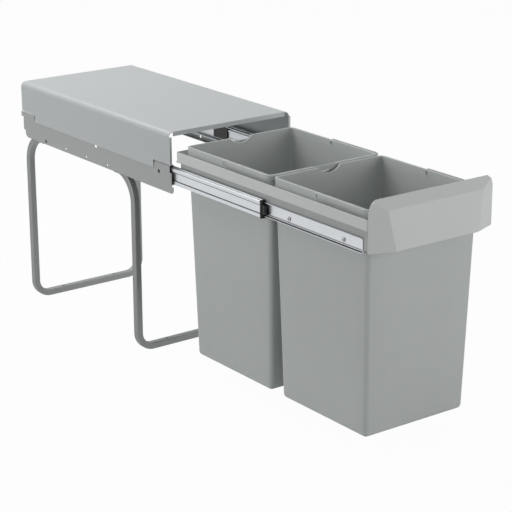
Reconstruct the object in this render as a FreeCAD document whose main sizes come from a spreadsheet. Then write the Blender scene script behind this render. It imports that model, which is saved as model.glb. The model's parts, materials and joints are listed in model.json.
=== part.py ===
import FreeCAD, Part
import math
import os
import Sketcher

# Pull-out waste cabinet with two bins, shown fully pulled out.
# Millimetres, +Z up, the pull-out moves towards -Y.
# The origin lies on the floor in the middle of the four floor screws.

doc = FreeCAD.newDocument("pull_out_cabinet")
sheet = doc.addObject("Spreadsheet::Sheet", "Sizes")

SIZES = [
    # canopy of bent sheet
    ("canopyWide", 256.0),
    ("canopyLong", 500.0),
    ("canopyTop", 432.0),
    ("canopyLow", 362.0),
    ("canopyBend", 10.0),
    ("sheetThick", 1.2),
    ("wallLead", 4.0),
    ("frontLine", -306.0),
    ("lipHigh", 8.0),
    ("cornerHigh", 375.5),
    ("returnWide", 4.2),
    # side rails
    ("railLow", 326.0),
    ("railHigh", 370.0),
    ("tabHigh", 374.0),
    ("railFlange", 8.0),
    ("railHole", 2.75),
    ("railPitch", 72.0),
    # tube hoops
    ("boltAcross", 118.0),
    ("boltAlong", 369.0),
    ("boltHole", 2.25),
    ("tubeWide", 12.0),
    ("tubeDeep", 13.0),
    ("tubeWall", 1.5),
    ("tubeRound", 1.7),
    ("lowBend", 35.0),
    ("topBend", 60.0),
    ("armTop", 338.0),
    ("frontArmEnd", -124.5),
    ("rearArmEnd", 115.0),
    # ball slides
    ("slideMid", 356.0),
    ("slideThick", 1.1),
    ("cabinetHalf", 17.8),
    ("middleNear", 14.2),
    ("middleFar", 15.4),
    ("drawerHalf", 11.8),
    ("slideDeep", 12.7),
    ("cabinetLong", 496.0),
    ("middleLong", 424.0),
    ("drawerLong", 476.0),
    ("ballRound", 1.2),
    ("ballPitch", 16.0),
    # carrier
    ("webThick", 1.2),
    ("carrierLow", 348.5),
    ("carrierHigh", 384.5),
    ("carrierLong", 500.0),
    ("frameWide", 247.0),
    ("frameHigh", 17.0),
    ("frameWall", 2.0),
    ("frameRear", -321.8),
    ("frameFront", -820.0),
    ("ledgeHigh", 9.2),
    ("ledgeThick", 4.0),
    ("ledgeWide", 1.6),
    ("bossHigh", 11.5),
    # bins
    ("rimHalfWide", 111.9),
    ("rimHalfLong", 116.4),
    ("rimHigh", 411.9),
    ("rimLow", 394.0),
    ("binWall", 2.2),
    ("binLow", 40.3),
    ("binStep", 1.4),
    ("floorHalfWide", 101.6),
    ("floorHalfLong", 105.4),
    ("binCorner", 8.0),
    ("binFoot", 7.5),
    ("notchRound", 30.0),
    ("notchDeep", 10.5),
    ("rearBin", -451.0),
    ("frontBin", -692.0),
    # bail handles
    ("bailGap", 1.7),
    ("bailThick", 1.8),
    ("bailHigh", 8.8),
    ("bailMid", 408.2),
    ("pivotAhead", -4.5),
    ("pinRound", 1.6),
    ("pinPlay", 0.05),
    # front panel
    ("panelWide", 250.0),
    ("panelLow", 350.0),
    ("panelHigh", 82.0),
    ("panelBack", -822.7),
    ("panelDeep", 16.0),
    ("panelEdge", 11.0),
    ("panelWall", 2.6),
    ("bossRound", 4.0),
]


class Size:
    # A length together with the text that drives it from the sheet.
    def __init__(self, value, text):
        self.value = value
        self.text = text

    def __add__(self, other):
        other = as_size(other)
        return Size(self.value + other.value, "(%s + %s)" % (self.text, other.text))

    def __sub__(self, other):
        other = as_size(other)
        return Size(self.value - other.value, "(%s - %s)" % (self.text, other.text))

    def __mul__(self, other):
        other = as_size(other)
        return Size(self.value * other.value, "(%s * %s)" % (self.text, other.text))

    def __truediv__(self, other):
        other = as_size(other)
        return Size(self.value / other.value, "(%s / %s)" % (self.text, other.text))

    def __neg__(self):
        return Size(-self.value, "(0 - %s)" % self.text)

    def __radd__(self, other):
        return as_size(other) + self

    def __rsub__(self, other):
        return as_size(other) - self

    def __rmul__(self, other):
        return as_size(other) * self


def as_size(number):
    if isinstance(number, Size):
        return number
    if number < 0:
        return Size(float(number), "(0 - %r)" % -float(number))
    return Size(float(number), "%r" % float(number))


class Named:
    pass


z = Named()
for row, (alias, number) in enumerate(SIZES, 1):
    sheet.set("A%d" % row, alias)
    sheet.set("B%d" % row, str(number))
    sheet.setAlias("B%d" % row, alias)
    setattr(z, alias, Size(number, "Sizes." + alias))
doc.recompute()

bodies = []


def new_body(name):
    body = doc.addObject("PartDesign::Body", name)
    body.Label = name
    body.AllowCompound = True
    bodies.append(body)
    return body


def drive(item, prop, size):
    size = as_size(size)
    item.setExpression(prop, size.text)


def plane_sketch(body, plane, start, length):
    # Sketch on an origin plane, set so that the feature fills start to start + length.
    origin_plane = [f for f in body.Origin.OriginFeatures if f.Role == plane + "_Plane"][0]
    sketch = body.newObject("Sketcher::SketchObject", body.Name + "_sketch")
    sketch.AttachmentSupport = [(origin_plane, "")]
    sketch.MapMode = "FlatFace"
    offset = as_size(start)
    if plane == "XZ":
        offset = -(offset + length)
    sketch.AttachmentOffset = FreeCAD.Placement(
        FreeCAD.Vector(0, 0, offset.value), FreeCAD.Rotation())
    drive(sketch, "AttachmentOffset.Base.z", offset)
    return sketch


def constrain(sketch, rows):
    # rows of (constraint, driving size or None)
    first = sketch.ConstraintCount
    sketch.addConstraint([row[0] for row in rows])
    for number, row in enumerate(rows, first):
        if row[1] is not None and "Sizes" in row[1].text:
            sketch.setExpression("Constraints[%d]" % number, row[1].text)


def pinned(geo, pos, x, y):
    rows = []
    for kind, size in (("DistanceX", x), ("DistanceY", y)):
        if size is None:
            continue
        size = as_size(size)
        rows.append((Sketcher.Constraint(kind, -1, 1, geo, pos, size.value), size))
    return rows


def draw_polygon(sketch, points):
    points = [(as_size(a), as_size(b)) for a, b in points]
    first = sketch.GeometryCount
    spots = [FreeCAD.Vector(a.value, b.value, 0) for a, b in points]
    count = len(spots)
    lines = []
    for i in range(count):
        lines.append(Part.LineSegment(spots[i], spots[(i + 1) % count]))
    sketch.addGeometry(lines, False)
    rows = []
    for i in range(count):
        follow = first + (i + 1) % count
        rows.append((Sketcher.Constraint("Coincident", first + i, 2, follow, 1), None))
    for i, (a, b) in enumerate(points):
        rows += pinned(first + i, 1, a, b)
    constrain(sketch, rows)


def draw_circles(sketch, centres, radius):
    radius = as_size(radius)
    rows = []
    for a, b in centres:
        a = as_size(a)
        b = as_size(b)
        middle = FreeCAD.Vector(a.value, b.value, 0)
        ring = Part.Circle(middle, FreeCAD.Vector(0, 0, 1), radius.value)
        geo = sketch.addGeometry(ring, False)
        rows += pinned(geo, 3, a, b)
        rows.append((Sketcher.Constraint("Radius", geo, radius.value), radius))
    constrain(sketch, rows)


def draw_rounded(sketch, left, right, low, high, radius):
    # Rectangle with four equal corner arcs.
    left, right, low, high, radius = [as_size(v) for v in (left, right, low, high, radius)]
    r = radius.value
    x0, x1, y0, y1 = left.value, right.value, low.value, high.value
    vec = FreeCAD.Vector
    first = sketch.GeometryCount
    up = vec(0, 0, 1)
    corners = [(x1 - r, y0 + r, 270), (x1 - r, y1 - r, 0), (x0 + r, y1 - r, 90), (x0 + r, y0 + r, 180)]
    ends = [
        (vec(x0 + r, y0, 0), vec(x1 - r, y0, 0)),
        (vec(x1, y0 + r, 0), vec(x1, y1 - r, 0)),
        (vec(x1 - r, y1, 0), vec(x0 + r, y1, 0)),
        (vec(x0, y1 - r, 0), vec(x0, y0 + r, 0)),
    ]
    shapes = []
    for (a, b), (cx, cy, turn) in zip(ends, corners):
        shapes.append(Part.LineSegment(a, b))
        circle = Part.Circle(vec(cx, cy, 0), up, r)
        shapes.append(Part.ArcOfCircle(circle, math.radians(turn), math.radians(turn + 90)))
    sketch.addGeometry(shapes, False)
    rows = []
    for i in range(8):
        follow = first + (i + 1) % 8
        rows.append((Sketcher.Constraint("Tangent", first + i, 2, follow, 1), None))
    for i, kind in ((0, "Horizontal"), (2, "Vertical"), (4, "Horizontal"), (6, "Vertical")):
        rows.append((Sketcher.Constraint(kind, first + i), None))
    for i in (3, 5, 7):
        rows.append((Sketcher.Constraint("Equal", first + 1, first + i), None))
    rows.append((Sketcher.Constraint("Radius", first + 1, r), radius))
    rows += pinned(first, 1, None, low)
    rows += pinned(first + 2, 1, right, None)
    rows += pinned(first + 4, 1, None, high)
    rows += pinned(first + 6, 1, left, None)
    constrain(sketch, rows)


def extrude(body, sketch, length, cut=False):
    kind = "PartDesign::Pocket" if cut else "PartDesign::Pad"
    feature = body.newObject(kind, body.Name + ("_cut" if cut else "_pad"))
    feature.Profile = sketch
    feature.Length = as_size(length).value
    drive(feature, "Length", length)
    feature.Reversed = cut
    sketch.Visibility = False
    before = 0.0
    if cut:
        before = body.Shape.Volume
    doc.recompute()
    if cut and not feature.Shape.Volume < before:
        raise ValueError("nothing was cut from " + body.Name)
    return feature


def prism(body, plane, start, length, points, cut=False):
    sketch = plane_sketch(body, plane, start, length)
    draw_polygon(sketch, points)
    return extrude(body, sketch, length, cut)


def box(body, plane, start, length, left, right, low, high, cut=False):
    points = [(left, low), (right, low), (right, high), (left, high)]
    return prism(body, plane, start, length, points, cut)


def rounds(body, plane, start, length, centres, radius, cut=False):
    sketch = plane_sketch(body, plane, start, length)
    draw_circles(sketch, centres, radius)
    return extrude(body, sketch, length, cut)


def rounded(body, plane, start, length, outer, inner=None, cut=False):
    # outer and inner are (left, right, low, high, radius)
    sketch = plane_sketch(body, plane, start, length)
    draw_rounded(sketch, *outer)
    if inner is not None:
        draw_rounded(sketch, *inner)
    return extrude(body, sketch, length, cut)


def edges_where(feature, test):
    names = []
    for number, edge in enumerate(feature.Shape.Edges, 1):
        if test(edge, edge.CenterOfMass):
            names.append("Edge%d" % number)
    if not names:
        raise ValueError("no edge found on " + feature.Name)
    return names


def near(a, b):
    return abs(a - as_size(b).value) < 0.02


def runs(edge, axis):
    # True where a straight edge runs along the axis 0, 1 or 2.
    if edge.Curve.TypeId != "Part::GeomLine":
        return False
    return abs(abs(edge.Curve.Direction[axis]) - 1.0) < 1e-6


def fillet(body, radius, test):
    base = body.Tip
    feature = body.newObject("PartDesign::Fillet", body.Name + "_fillet")
    feature.Base = (base, edges_where(base, test))
    feature.Radius = as_size(radius).value
    drive(feature, "Radius", radius)
    doc.recompute()
    return feature


def chamfer(body, length, test):
    base = body.Tip
    feature = body.newObject("PartDesign::Chamfer", body.Name + "_chamfer")
    feature.Base = (base, edges_where(base, test))
    feature.Size = as_size(length).value
    drive(feature, "Size", length)
    doc.recompute()
    return feature


def face_where(feature, test):
    for number, face in enumerate(feature.Shape.Faces, 1):
        if test(face, face.CenterOfMass):
            return "Face%d" % number
    raise ValueError("no face found on " + feature.Name)


def hollow(body, wall, test):
    base = body.Tip
    feature = body.newObject("PartDesign::Thickness", body.Name + "_shell")
    feature.Base = (base, [face_where(base, test)])
    feature.Value = as_size(wall).value
    drive(feature, "Value", wall)
    feature.Reversed = True
    before = base.Shape.Volume
    doc.recompute()
    if not feature.Shape.Volume < before:
        raise ValueError("nothing was hollowed in " + body.Name)
    return feature


def repeat(body, features, axis, count, pitch):
    # Row of copies along an origin axis, named X, Y or Z.
    line = [f for f in body.Origin.OriginFeatures if f.Role == axis + "_Axis"][0]
    pattern = body.newObject("PartDesign::LinearPattern", body.Name + "_row")
    pattern.Originals = features
    pattern.Direction = (line, [""])
    pattern.Mode = "Spacing"
    pattern.Offset = as_size(pitch).value
    drive(pattern, "Offset", pitch)
    pattern.Occurrences = count
    body.Tip = pattern
    doc.recompute()
    return pattern


def deep(distance):
    # Y of a point that lies this far behind the front edge of the canopy top.
    return z.frontLine + distance


half = z.canopyWide / 2
wall_in = half - z.sheetThick
rail_in = wall_in - z.sheetThick
SIDES = (("left", -1), ("right", 1))


def mirrored(side, points):
    return [(as_size(a) * side, b) for a, b in points]


def sided(side, near_x, far_x):
    # Start and length of a span between two distances from the middle plane.
    near_x = as_size(near_x)
    far_x = as_size(far_x)
    if side > 0:
        return near_x, far_x - near_x
    return -far_x, far_x - near_x


# ---------------------------------------------------------------- canopy
canopy = new_body("canopy")
top = z.canopyTop
prism(canopy, "XZ", deep(-z.wallLead), z.canopyLong + z.wallLead, [
    (-half, z.canopyLow),
    (-half, top),
    (half, top),
    (half, z.canopyLow),
    (wall_in, z.canopyLow),
    (wall_in, top - z.sheetThick),
    (-wall_in, top - z.sheetThick),
    (-wall_in, z.canopyLow),
])
fillet(canopy, z.canopyBend, lambda e, c: runs(e, 1) and near(c.z, top) and near(abs(c.x), half))
fillet(canopy, z.canopyBend - z.sheetThick,
       lambda e, c: runs(e, 1) and near(c.z, top - z.sheetThick) and near(abs(c.x), wall_in))
across = (-half - 1, z.canopyWide + 2)
box(canopy, "YZ", across[0], across[1], deep(-5), deep(0), top - z.lipHigh, top + 1, True)
box(canopy, "YZ", across[0], across[1], deep(-5), deep(48), z.canopyLow - 1, z.cornerHigh, True)
box(canopy, "YZ", across[0], across[1], deep(452), deep(501), z.canopyLow - 1, z.cornerHigh, True)
lip_half = half - z.canopyBend
for lip_start in (0, z.canopyLong - z.sheetThick):
    box(canopy, "YZ", -lip_half, lip_half * 2, deep(lip_start), deep(lip_start + z.sheetThick),
        top - z.lipHigh, top - z.sheetThick)
for _, side in SIDES:
    start, length = sided(side, half - z.returnWide, wall_in)
    box(canopy, "YZ", start, length, deep(-4), deep(-4 + z.sheetThick), z.cornerHigh, top - z.lipHigh)

# ---------------------------------------------------------------- side rails
for name, side in SIDES:
    rail = new_body("rail_" + name)
    start, length = sided(side, rail_in, wall_in)
    prism(rail, "YZ", start, length, [
        (deep(-10.5), z.railLow),
        (deep(-10.5), z.armTop),
        (deep(-5.5), z.armTop),
        (deep(-5.5), z.canopyLow),
        (deep(0), z.canopyLow),
        (deep(0), z.tabHigh),
        (deep(46), z.tabHigh),
        (deep(46), z.railHigh),
        (deep(452), z.railHigh),
        (deep(452), z.canopyLow + 2.5),
        (deep(456), z.canopyLow + 2.5),
        (deep(456), z.tabHigh),
        (deep(506), z.tabHigh),
        (deep(506), z.canopyLow + 2.5),
        (deep(498.5), z.canopyLow + 2.5),
        (deep(498.5), z.railLow + 14),
        (deep(492.7), z.railLow + 14),
        (deep(492.7), z.railLow),
    ])
    fillet(rail, 11.0, lambda e, c: runs(e, 0) and near(c.y, deep(492.7)) and near(c.z, z.railLow))
    fillet(rail, 7.0, lambda e, c: runs(e, 0) and near(c.y, deep(-10.5)) and near(c.z, z.railLow))
    fillet(rail, 1.5, lambda e, c: runs(e, 0) and near(c.y, deep(-10.5)) and near(c.z, z.armTop))
    for first, last in ((3.0, 47.0), (183.0, 418.0)):
        start, length = sided(side, wall_in - z.railFlange, rail_in)
        box(rail, "YZ", start, length, deep(first), deep(last), z.railLow, z.railLow + z.sheetThick)
    start, length = sided(side, rail_in - 0.4, wall_in + 1)
    hole = rounds(rail, "YZ", start, length, [(deep(200), z.railLow + 5.7)], z.railHole, True)
    repeat(rail, [hole], "Y", 4, z.railPitch)
    rounds(rail, "YZ", start, length, [(deep(33), z.slideMid + 1.7)], 3.2, True)
    rounded(rail, "YZ", start, length,
            (deep(233.5), deep(242.5), z.slideMid + 0.7, z.slideMid + 5.9, 2.55), None, True)
    rounds(rail, "YZ", start, length,
           [(deep(60), z.slideMid + 11), (deep(250), z.slideMid + 11), (deep(440), z.slideMid + 11)],
           2.4, True)

# ---------------------------------------------------------------- tube hoops
leg = rail_in - z.tubeWide / 2


def pipe(body, profile, spine, cut):
    kind = "PartDesign::SubtractivePipe" if cut else "PartDesign::AdditivePipe"
    feature = body.newObject(kind, body.Name + ("_bore" if cut else "_pipe"))
    feature.Profile = profile
    feature.Spine = (spine, ["Edge%d" % (n + 1) for n in range(spine.GeometryCount)])
    profile.Visibility = False
    spine.Visibility = False
    doc.recompute()
    return feature


def section(body, middle_x, middle_y, height, shrink):
    sketch = plane_sketch(body, "XY", height, 0)
    wide = z.tubeWide / 2 - shrink
    long = z.tubeDeep / 2 - shrink
    draw_rounded(sketch, middle_x - wide, middle_x + wide, middle_y - long, middle_y + long,
                 z.tubeRound - as_size(shrink) * 0.9)
    return sketch


def frame_path(body, middle_y, leg_top):
    # Down the left leg, along the floor and up the right leg.
    sketch = plane_sketch(body, "XZ", middle_y, 0)
    floor = z.tubeWide / 2
    bend = z.lowBend - z.tubeWide / 2
    vec = FreeCAD.Vector
    x1, z0, r, up = leg.value, floor.value, bend.value, leg_top.value
    normal = vec(0, 0, 1)
    turn = math.radians
    sketch.addGeometry([
        Part.LineSegment(vec(-x1, up, 0), vec(-x1, z0 + r, 0)),
        Part.ArcOfCircle(Part.Circle(vec(r - x1, z0 + r, 0), normal, r), turn(180), turn(270)),
        Part.LineSegment(vec(r - x1, z0, 0), vec(x1 - r, z0, 0)),
        Part.ArcOfCircle(Part.Circle(vec(x1 - r, z0 + r, 0), normal, r), turn(270), turn(360)),
        Part.LineSegment(vec(x1, z0 + r, 0), vec(x1, up, 0)),
    ], False)
    rows = [(Sketcher.Constraint("Tangent", i, 2, i + 1, 1), None) for i in range(4)]
    rows.append((Sketcher.Constraint("Vertical", 0), None))
    rows.append((Sketcher.Constraint("Horizontal", 2), None))
    rows.append((Sketcher.Constraint("Vertical", 4), None))
    rows.append((Sketcher.Constraint("Radius", 1, r), bend))
    rows.append((Sketcher.Constraint("Radius", 3, r), bend))
    rows += pinned(0, 1, -leg, leg_top)
    rows += pinned(2, 1, None, floor)
    rows += pinned(4, 2, leg, leg_top)
    constrain(sketch, rows)
    return sketch


def arm_path(body, side, middle_y, leg_top, arm_end, ahead):
    # Over the top bend and along the rail; ahead is +1 or -1 along Y.
    sketch = plane_sketch(body, "YZ", leg * side, 0)
    bend = z.topBend - z.tubeDeep / 2
    arm_mid = z.armTop - z.tubeDeep / 2
    vec = FreeCAD.Vector
    y0, r, low, high = middle_y.value, bend.value, leg_top.value, arm_mid.value
    circle = Part.Circle(vec(y0 + ahead * r, low, 0), vec(0, 0, 1), r)
    if ahead > 0:
        arc = Part.ArcOfCircle(circle, math.radians(90), math.radians(180))
        head, tail = 1, 2
    else:
        arc = Part.ArcOfCircle(circle, math.radians(0), math.radians(90))
        head, tail = 2, 1
    sketch.addGeometry([
        arc,
        Part.LineSegment(vec(y0 + ahead * r, high, 0), vec(arm_end.value, high, 0)),
    ], False)
    rows = [(Sketcher.Constraint("Coincident", 0, head, 1, 1), None)]
    rows.append((Sketcher.Constraint("Horizontal", 1), None))
    rows.append((Sketcher.Constraint("Radius", 0, r), bend))
    rows += pinned(0, tail, None, leg_top)
    rows += pinned(0, 3, middle_y + bend * ahead, leg_top)
    rows += pinned(1, 1, middle_y + bend * ahead, None)
    rows += pinned(1, 2, arm_end, None)
    constrain(sketch, rows)
    return sketch


for name, ahead, arm_end in (("front", 1, z.frontArmEnd), ("rear", -1, z.rearArmEnd)):
    hoop = new_body("hoop_" + name)
    middle_y = z.boltAlong / 2 * -ahead
    leg_top = z.armTop - z.topBend
    for cut, shrink in ((False, as_size(0)), (True, z.tubeWall)):
        profile = section(hoop, -leg, middle_y, leg_top, shrink)
        pipe(hoop, profile, frame_path(hoop, middle_y, leg_top), cut)
        for _, side in SIDES:
            profile = section(hoop, leg * side, middle_y, leg_top, shrink)
            pipe(hoop, profile, arm_path(hoop, side, middle_y, leg_top, arm_end, ahead), cut)
    screw_x = z.boltAcross / 2
    rounds(hoop, "XY", -1, z.tubeWide + 2, [(-screw_x, middle_y), (screw_x, middle_y)], z.boltHole, True)

# ---------------------------------------------------------------- ball slides
mid = z.slideMid
thick = z.slideThick


def slide_points(side, path):
    # path holds (distance from the rail, height above the slide middle)
    return [((rail_in - as_size(u)) * side, mid + v) for u, v in path]


for name, side in SIDES:
    outer = new_body("slide_outer_" + name)
    inner_half = z.cabinetHalf - thick
    upper = [(9.0, inner_half), (9.0, z.cabinetHalf), (0.0, z.cabinetHalf)]
    lower = [(0.0, -z.cabinetHalf), (9.0, -z.cabinetHalf), (9.0, -inner_half),
             (thick, -inner_half), (thick, inner_half)]
    prism(outer, "XZ", deep(2), z.cabinetLong, slide_points(side, upper + lower))
    fillet(outer, 0.9, lambda e, c: runs(e, 1) and near(abs(c.z - mid.value), z.cabinetHalf)
           and near(abs(c.x), rail_in))
    start, length = sided(side, rail_in - thick - 0.4, rail_in + 0.4)
    rounds(outer, "YZ", start, length,
           [(deep(60), mid + 11), (deep(250), mid + 11), (deep(440), mid + 11)], 2.4, True)
    # openings behind the two holes of the rail that show daylight
    rounded(outer, "YZ", start, length, (deep(29), deep(40), mid - 2.5, mid + 5.5, 3.9), None, True)
    rounded(outer, "YZ", start, length, (deep(232), deep(246.5), mid - 1.2, mid + 6.4, 3.7), None, True)

    middle = new_body("slide_middle_" + name)
    # rolled profile: lip, ball track, strip, groove and web, and its inner face a sheet further in
    near_side = [(11.2, z.middleFar), (7.4, z.middleFar), (6.4, z.middleNear), (3.4, z.middleNear),
                 (2.6, z.middleNear - 0.8), (2.6, 7.9), (4.9, 7.7), (4.9, 6.5), (4.0, 6.3)]
    far_side = [(11.2, z.middleFar - thick), (7.9, z.middleFar - thick), (6.9, z.middleNear - thick),
                (3.85, z.middleNear - thick), (2.6 + thick, z.middleNear - 1.25), (2.6 + thick, 9.1),
                (4.9 + thick, 8.9), (4.9 + thick, 5.3), (4.0 + thick, 5.1)]
    near_side = [(as_size(u), as_size(v)) for u, v in near_side]
    far_side = [(as_size(u), as_size(v)) for u, v in far_side]
    loop = near_side + [(u, -v) for u, v in reversed(near_side)]
    loop += [(u, -v) for u, v in far_side] + list(reversed(far_side))
    prism(middle, "XZ", deep(-250), z.middleLong, slide_points(side, loop))
    start, length = sided(side, rail_in - 6, rail_in - 4)
    rounded(middle, "YZ", start, length, (deep(32), deep(52), mid - 5, mid + 3, 3.9), None, True)

    inner = new_body("slide_inner_" + name)
    web = z.slideDeep - thick
    prism(inner, "XZ", deep(-493), z.drawerLong, slide_points(side, [
        (8.0, z.drawerHalf), (z.slideDeep, z.drawerHalf), (z.slideDeep, -z.drawerHalf),
        (8.0, -z.drawerHalf), (8.0, thick - z.drawerHalf), (web, thick - z.drawerHalf),
        (web, -8.7), (9.6, -8.7), (9.6, -7.8), (web, -7.8),
        (web, z.drawerHalf - thick), (8.0, z.drawerHalf - thick)]))
    fillet(inner, 0.9, lambda e, c: runs(e, 1) and near(abs(c.z - mid.value), z.drawerHalf)
           and near(abs(c.x), rail_in - z.slideDeep))
    start, length = sided(side, rail_in - z.slideDeep - 0.4, rail_in - web + 0.4)
    rounds(inner, "YZ", start, length,
           [(deep(-449), mid - 1.5), (deep(-315), mid - 1.5), (deep(-60), mid - 1.5)], 2.0, True)

    # plastic end piece on the front of the middle member: a cap with a stop block that fits
    # inside the drawer member and leaves its screw heads free
    end = new_body("slide_end_" + name)
    prism(end, "XZ", deep(-253.2), 3.2, slide_points(side, [
        (2.6, 15.0), (11.2, 15.0), (11.2, 12.2), (7.5, 12.2), (7.5, -12.2),
        (11.2, -12.2), (11.2, -15.0), (2.6, -15.0)]))
    prism(end, "XZ", deep(-259.4), 6.4, slide_points(side, [
        (4.2, 8.0), (11.0, 8.0), (11.0, 2.8), (9.1, 2.8), (9.1, -5.6), (11.0, -5.6),
        (11.0, -7.3), (4.2, -7.3)]))
    prism(end, "XZ", deep(-261.2), 2.0, slide_points(side, [
        (5.0, -2.6), (9.1, -2.6), (9.1, -5.6), (11.0, -5.6), (11.0, -7.3), (5.0, -7.3)]))
    prism(end, "XZ", deep(-250), 9, slide_points(side, [
        (5.2, 5.0), (7.4, 5.0), (7.4, -5.0), (5.2, -5.0)]))
    chamfer(end, 1.4, lambda e, c: near(c.y, deep(-259.4)) and near(c.z, mid + 8) and runs(e, 0))

    # plastic stop on the rear end of the middle member
    stop = new_body("slide_stop_" + name)
    prism(stop, "XZ", deep(174), 44, slide_points(side, [
        (2.2, 11.5), (7.4, 11.5), (7.4, -11.5), (2.2, -11.5)]))
    prism(stop, "XZ", deep(174), 5, slide_points(side, [
        (2.2, 13.4), (7.4, 13.4), (7.4, -13.4), (2.2, -13.4)]))
    chamfer(stop, 1.5, lambda e, c: near(c.y, deep(218)) and runs(e, 0))

    # rubber buffer in the rear end of the cabinet member
    buffer = new_body("slide_buffer_" + name)
    start, length = sided(side, rail_in - 11.5, rail_in - thick)
    box(buffer, "YZ", start, length, deep(493.6), deep(498), mid - 14, mid + 14)
    chamfer(buffer, 1.0, lambda e, c: near(c.y, deep(493.6)) and near(abs(c.z - mid.value), 14))

# ---------------------------------------------------------------- balls and ball cages


def ball_row(name, side, first, count, u, v, cage_half):
    balls = new_body("balls_" + name)
    made = []
    for sign in (1, -1):
        ball = balls.newObject("PartDesign::AdditiveSphere", balls.Name + "_ball")
        ball.Radius = z.ballRound.value
        drive(ball, "Radius", z.ballRound)
        offset = FreeCAD.Vector((rail_in.value - u) * side, deep(first).value, mid.value + v * sign)
        ball.AttachmentOffset = FreeCAD.Placement(offset, FreeCAD.Rotation())
        drive(ball, "AttachmentOffset.Base.x", (rail_in - u) * side)
        drive(ball, "AttachmentOffset.Base.y", deep(first))
        drive(ball, "AttachmentOffset.Base.z", mid + v * sign)
        origin_plane = [f for f in balls.Origin.OriginFeatures if f.Role == "XY_Plane"][0]
        ball.AttachmentSupport = [(origin_plane, "")]
        ball.MapMode = "FlatFace"
        made.append(ball)
        doc.recompute()
    repeat(balls, made, "Y", count, z.ballPitch)

    cage = new_body("cage_" + name)
    upper = [(as_size(a), as_size(b)) for a, b in cage_half]
    middle = len(upper) // 2
    near_side = upper[:middle]
    far_side = upper[middle:]
    loop = near_side + [(a, -b) for a, b in reversed(near_side)]
    loop += [(a, -b) for a, b in reversed(far_side)] + far_side
    prism(cage, "XZ", deep(first - 6), z.ballPitch * (count - 1) + 12, slide_points(side, loop))
    made = rounds(cage, "XY", mid - 20, 40, [((rail_in - u) * side, deep(first))],
                  z.ballRound + 0.1, True)
    repeat(cage, [made], "Y", count, z.ballPitch)


for name, side in SIDES:
    ball_row("outer_" + name, side, 17.0, 10, 4.9, 15.45,
             [(6.7, 15.75), (1.6, 15.75), (2.1, 15.15), (6.7, 15.15)])
    ball_row("inner_" + name, side, -219.0, 12, 9.4, 13.05,
             [(11.2, 13.35), (7.7, 13.35), (6.3, 12.3), (6.8, 11.9), (8.0, 12.75), (11.2, 12.75)])

# ---------------------------------------------------------------- rivets of the cabinet members
rivets = new_body("slide_rivets")
for _, side in SIDES:
    start, length = sided(side, rail_in - thick, wall_in)
    rounds(rivets, "YZ", start, length,
           [(deep(60), mid + 11), (deep(250), mid + 11), (deep(440), mid + 11)], 2.4)

# ---------------------------------------------------------------- carrier side rails
web_out = rail_in - z.slideDeep
web_in = web_out - z.webThick
flange_out = web_out + 10.1
FRAME_SCREWS = (-40.0, -265.2, -490.0)
screw_line = web_out + 5.1
for name, side in SIDES:
    carrier = new_body("carrier_rail_" + name)
    prism(carrier, "XZ", deep(-514), z.carrierLong, mirrored(side, [
        (web_in, z.carrierLow), (web_out, z.carrierLow),
        (web_out, z.carrierHigh - z.webThick), (flange_out, z.carrierHigh - z.webThick),
        (flange_out, z.carrierHigh), (web_in, z.carrierHigh)]))
    fillet(carrier, 1.0, lambda e, c: runs(e, 1) and near(abs(c.x), web_in) and near(c.z, z.carrierHigh))
    start, length = sided(side, web_in - 0.4, web_out + 0.4)
    rounds(carrier, "YZ", start, length,
           [(deep(-449), mid - 1.5), (deep(-315), mid - 1.5), (deep(-60), mid - 1.5)], 2.0, True)
    rounds(carrier, "XY", z.carrierHigh - 2, 3,
           [(screw_line * side, deep(y)) for y in FRAME_SCREWS], 1.7, True)

screws = new_body("carrier_screws")
for _, side in SIDES:
    spots = [(deep(-449), mid - 1.5), (deep(-315), mid - 1.5), (deep(-60), mid - 1.5)]
    start, length = sided(side, web_in, web_out + thick)
    rounds(screws, "YZ", start, length, spots, 2.0)
    start, length = sided(side, web_out + thick, web_out + thick + 1.9)
    rounds(screws, "YZ", start, length, spots, 3.3)
fillet(screws, 0.9, lambda e, c: e.Curve.TypeId == "Part::GeomCircle"
       and near(abs(c.x), web_out + thick + 1.9))

# ---------------------------------------------------------------- bin frame
frame = new_body("bin_frame")
out_x = z.frameWide / 2
low = z.carrierHigh
high = z.carrierHigh + z.frameHigh
in_x = web_out - 0.4
rounded(frame, "XY", low, z.frameHigh, (-out_x, out_x, z.frameFront, z.frameRear, 4.0))
WINDOWS = ((deep(-262.5), deep(-28.0)), (deep(-505.5), deep(-267.9)))
ledge = z.ledgeWide
window_round = z.binCorner + z.binStep + 0.6
inner_wall = in_x + z.frameWall
inside = (z.frameWall - out_x, out_x - z.frameWall, z.frameFront + z.frameWall, z.frameRear - z.frameWall, 2.5)
# above the ledge only the outer wall stands
rounded(frame, "XY", low + z.ledgeHigh, z.frameHigh - z.ledgeHigh + 1, inside, None, True)
for y0, y1 in WINDOWS:
    rounded(frame, "XY", low - 1, z.frameHigh + 2,
            (ledge - in_x, in_x - ledge, y0 + ledge, y1 - ledge, window_round - ledge), None, True)
    rounded(frame, "XY", low - 1, z.ledgeHigh - z.ledgeThick + 1,
            (-in_x, in_x, y0, y1, window_round), None, True)
# channel between the outer wall and the wall that carries the bins, open to the top
rounded(frame, "XY", low + z.frameWall, z.frameHigh, inside,
        (-inner_wall, inner_wall, deep(-505.5) - z.frameWall, deep(-28.0) + z.frameWall, window_round + 1.5),
        True)
boss_spots = [(screw_line * side, deep(y)) for _, side in SIDES for y in FRAME_SCREWS]
rounds(frame, "XY", low, z.bossHigh, boss_spots, 3.6)
rounds(frame, "XY", low - 1, 11, boss_spots, 1.5, True)

frame_screws = new_body("frame_screws")
rounds(frame_screws, "XY", low - z.webThick, 10, boss_spots, 1.5)
rounds(frame_screws, "XY", low - z.webThick - 1.8, 1.8, boss_spots, 3.0)

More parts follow.
